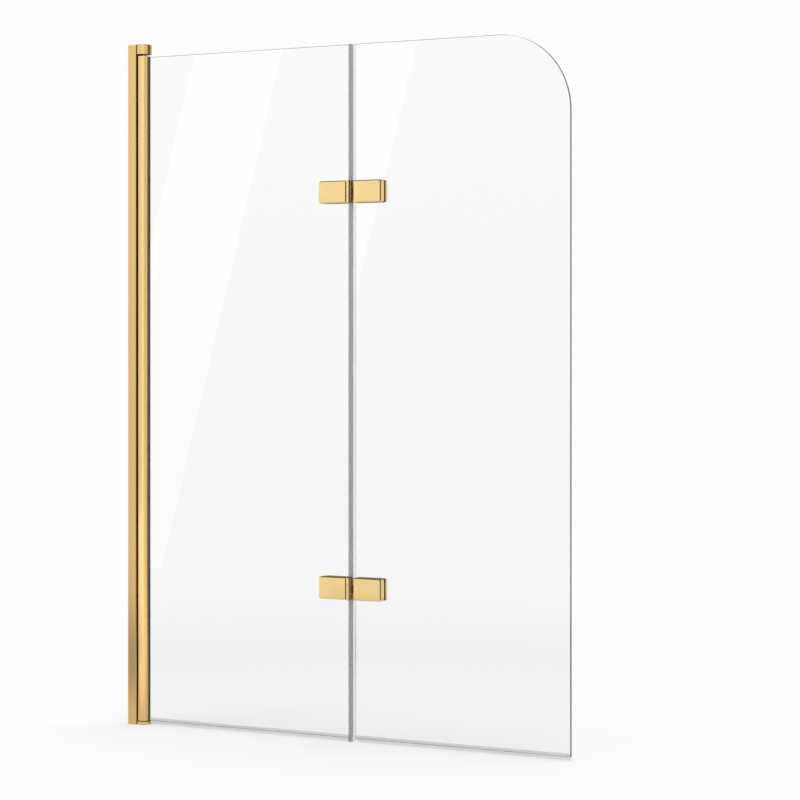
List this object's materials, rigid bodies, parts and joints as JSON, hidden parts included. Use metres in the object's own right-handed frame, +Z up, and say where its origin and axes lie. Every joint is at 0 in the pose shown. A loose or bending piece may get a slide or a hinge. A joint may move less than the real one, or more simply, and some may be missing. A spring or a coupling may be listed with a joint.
{
  "type": "folding bath screen",
  "caption": "Frameless folding bath screen: clear glass panes, gold wall post with a pivot tube, and glass-to-glass hinges that let the outer pane fold flat on the inner one.",
  "frame": {"origin": "on the wall, at the foot of the wall rail's back face, in the plane of the glass, level with the bath rim", "axes": "+X from the wall along the screen to its free edge, +Y through the glass away from the side that the screen folds to, +Z up"},
  "size_m": [1, 0.0436, 1.4],
  "materials": {
    "gold_profile": "polished gold anodised",
    "mill_aluminium": "mill finish",
    "gold_fitting": "polished gold plated",
    "stainless": "plain stainless",
    "clear_glass": "clear toughened, polished edges",
    "clear_pvc": "clear flexible strip",
    "dark_rubber": "matt",
    "clamp_rubber": "matt",
    "white_nylon": "moulded",
    "gold_plastic": "moulded, gold coloured"
  },
  "bodies": {
    "wall_frame": {"wall_rail": "mill_aluminium", "post_profile": "gold_profile", "post_top_cap": "gold_plastic", "post_fixing_screws": "stainless", "post_screw_caps": "gold_plastic", "post_wiper_seal": "dark_rubber", "top_bracket": "gold_fitting", "bottom_bracket": "gold_fitting", "bracket_screws": "stainless", "top_pivot_pin": "stainless", "bottom_pivot_pin": "stainless"},
    "inner_leaf": {"pivot_tube": "gold_profile", "top_pivot_bush": "white_nylon", "bottom_pivot_bush": "white_nylon", "glazing_gasket": "dark_rubber", "inner_glass": "clear_glass", "inner_bottom_seal": "clear_pvc", "joint_seal": "clear_pvc", "upper_inner_block": "gold_fitting", "upper_inner_back_plate": "gold_fitting", "upper_inner_front_gasket": "clamp_rubber", "upper_inner_back_gasket": "clamp_rubber", "upper_inner_screws": "stainless", "upper_inner_sleeves": "white_nylon", "upper_hinge_pin": "stainless", "lower_inner_block": "gold_fitting", "lower_inner_back_plate": "gold_fitting", "lower_inner_front_gasket": "clamp_rubber", "lower_inner_back_gasket": "clamp_rubber", "lower_inner_screws": "stainless", "lower_inner_sleeves": "white_nylon", "lower_hinge_pin": "stainless"},
    "outer_leaf": {"outer_glass": "clear_glass", "outer_bottom_seal": "clear_pvc", "upper_outer_block": "gold_fitting", "upper_outer_back_plate": "gold_fitting", "upper_outer_front_gasket": "clamp_rubber", "upper_outer_back_gasket": "clamp_rubber", "upper_outer_screws": "stainless", "upper_outer_sleeves": "white_nylon", "upper_knuckle_bushes": "white_nylon", "lower_outer_block": "gold_fitting", "lower_outer_back_plate": "gold_fitting", "lower_outer_front_gasket": "clamp_rubber", "lower_outer_back_gasket": "clamp_rubber", "lower_outer_screws": "stainless", "lower_outer_sleeves": "white_nylon", "lower_knuckle_bushes": "white_nylon"}
  },
  "joints": [
    {"name": "swing", "type": "hinge", "parent": "wall_frame", "child": "inner_leaf", "pos_m": [0.03, 0, 0.0066], "axis": [0, 0, 1], "range_deg": [-90, 90]},
    {"name": "fold", "type": "hinge", "parent": "inner_leaf", "child": "outer_leaf", "pos_m": [0.53, -0.0196, 0.693], "axis": [0, 0, -1], "range_deg": [0, 180]}
  ]
}
